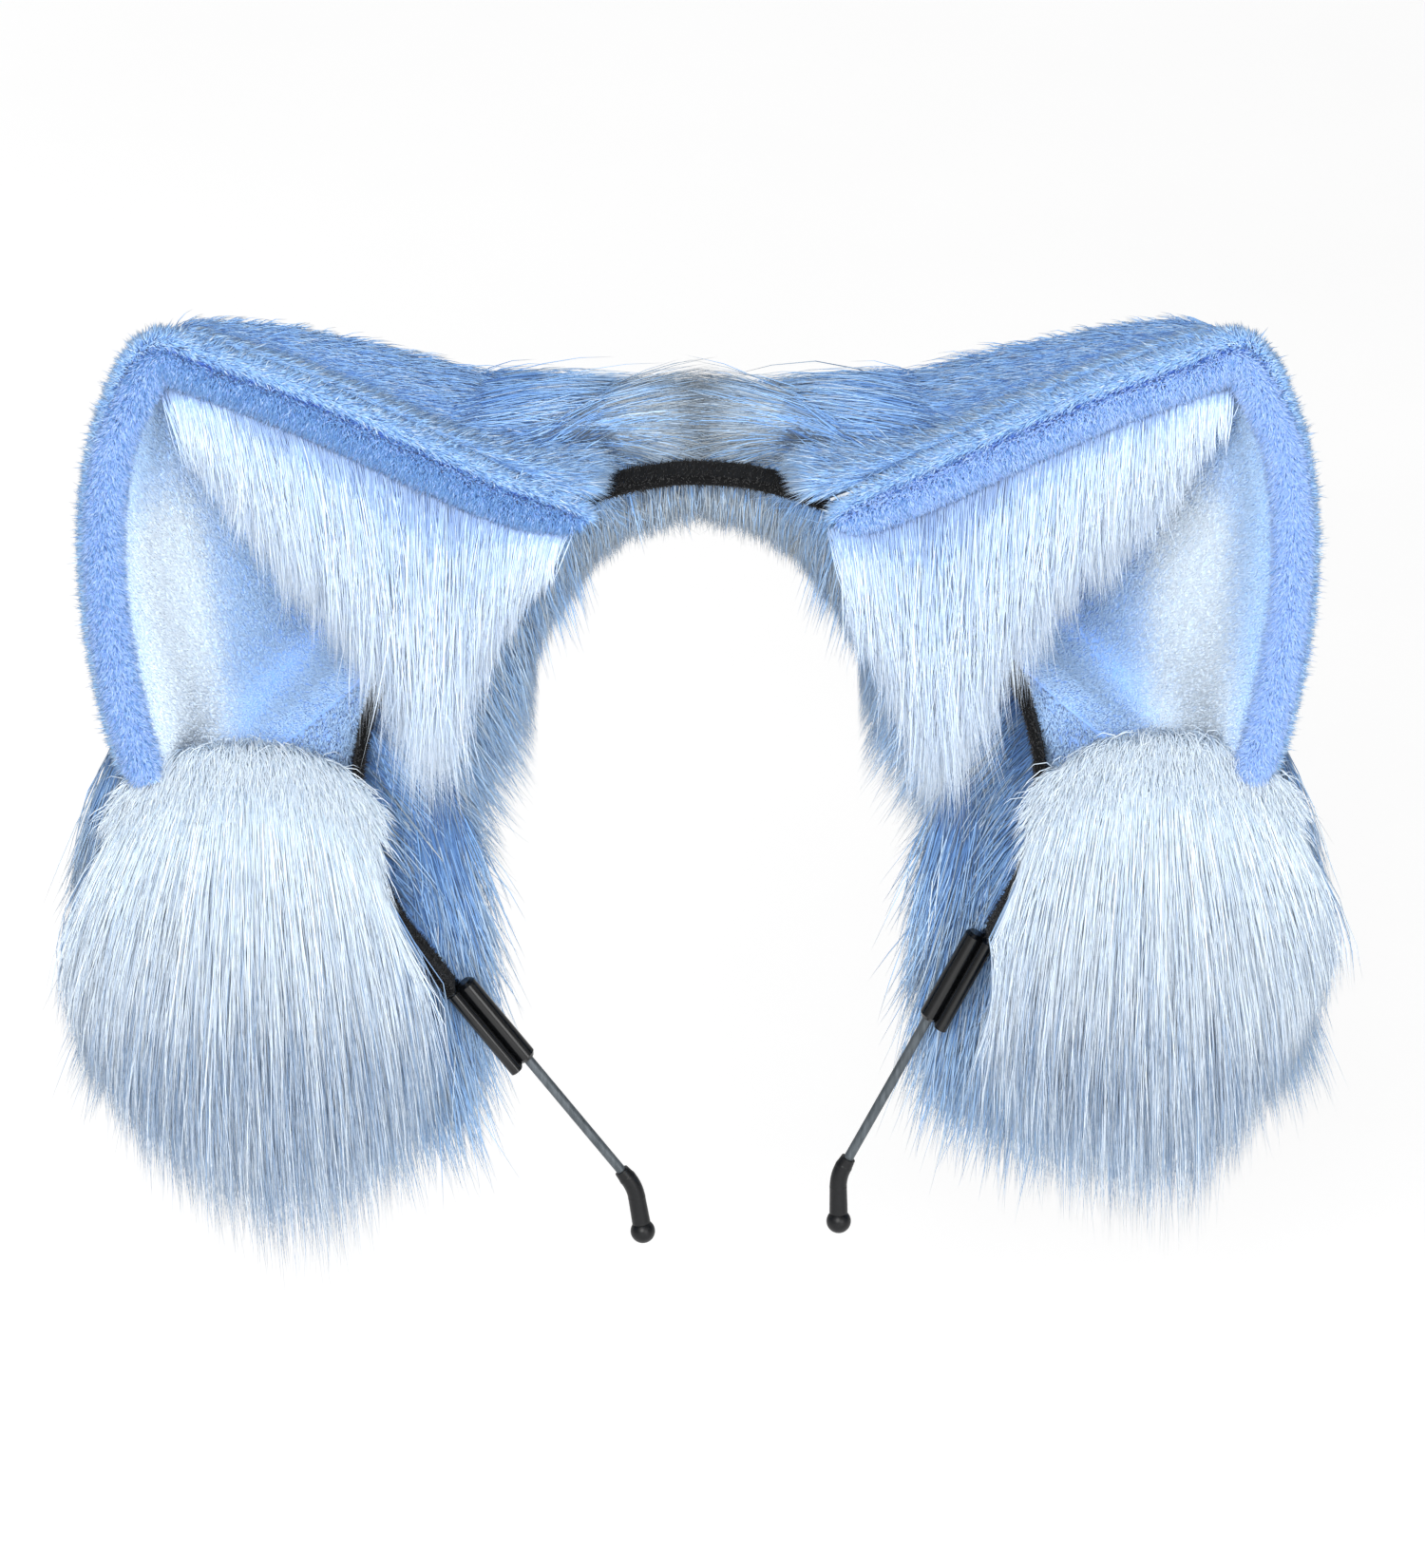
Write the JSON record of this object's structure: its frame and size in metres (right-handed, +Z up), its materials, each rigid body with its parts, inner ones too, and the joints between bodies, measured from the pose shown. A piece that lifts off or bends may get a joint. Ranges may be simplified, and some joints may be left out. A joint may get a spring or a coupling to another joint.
{
  "type": "animal ears headband",
  "caption": "Costume headband with large cupped faux fur animal ears and long tufts on a thin ribbon-covered spring hoop with sliding end arms.",
  "frame": {"origin": "seat on the head: the middle of the hoop's crown, on its inner face", "axes": "-Y is the way the ears face (forward), +Z up, +X to the right as seen from the front"},
  "size_m": [0.247, 0.0749, 0.1938],
  "materials": {
    "spring_steel": "blued spring steel",
    "velvet": "black velvet ribbon, fine nap",
    "sleeve_black": "glossy black moulded nylon",
    "arm_steel": "grey lacquered spring wire",
    "collar_steel": "crimped steel collar",
    "tip_rubber": "black dipped rubber, satin",
    "loop_elastic": "black elastic tape",
    "felt": "black pressed felt",
    "fur_blue": "medium pile faux fur, sky blue",
    "foam": "soft foam interlining",
    "plush_inner": "short pile plush, periwinkle blue with a pale airbrushed stripe",
    "plush_rim": "short pile plush, rolled hem",
    "rim_wire_steel": "soft bendable wire",
    "fur_white": "long pile faux fur, ice white",
    "fur_blue_long": "long pile faux fur, grey blue"
  },
  "bodies": {
    "hoop": {"spring_strip": "spring_steel", "velvet_wrap": "velvet", "left_sleeve": "sleeve_black", "right_sleeve": "sleeve_black", "left_band_loops": "loop_elastic", "right_band_loops": "loop_elastic", "left_base_felt": "felt", "right_base_felt": "felt", "left_fur_back": "fur_blue", "right_fur_back": "fur_blue", "left_foam_liner": "foam", "right_foam_liner": "foam", "left_plush_inner": "plush_inner", "right_plush_inner": "plush_inner", "left_rim_roll": "plush_rim", "right_rim_roll": "plush_rim", "left_rim_wire": "rim_wire_steel", "right_rim_wire": "rim_wire_steel", "left_upper_tuft": "fur_white", "right_upper_tuft": "fur_white", "left_base_tuft": "fur_white", "right_base_tuft": "fur_white", "left_back_skirt": "fur_blue_long", "right_back_skirt": "fur_blue_long"},
    "left_arm": {"left_arm_wire": "arm_steel", "left_stop_collar": "collar_steel", "left_rubber_tip": "tip_rubber"},
    "right_arm": {"right_arm_wire": "arm_steel", "right_stop_collar": "collar_steel", "right_rubber_tip": "tip_rubber"}
  },
  "joints": [
    {"name": "left_arm_slide", "type": "slide", "parent": "hoop", "child": "left_arm", "axis": [0.6046, 0, -0.7965], "range_m": [-0.0087, 0.0039]},
    {"name": "right_arm_slide", "type": "slide", "parent": "hoop", "child": "right_arm", "axis": [-0.4587, 0, -0.8886], "range_m": [-0.0122, 0.0004]}
  ]
}
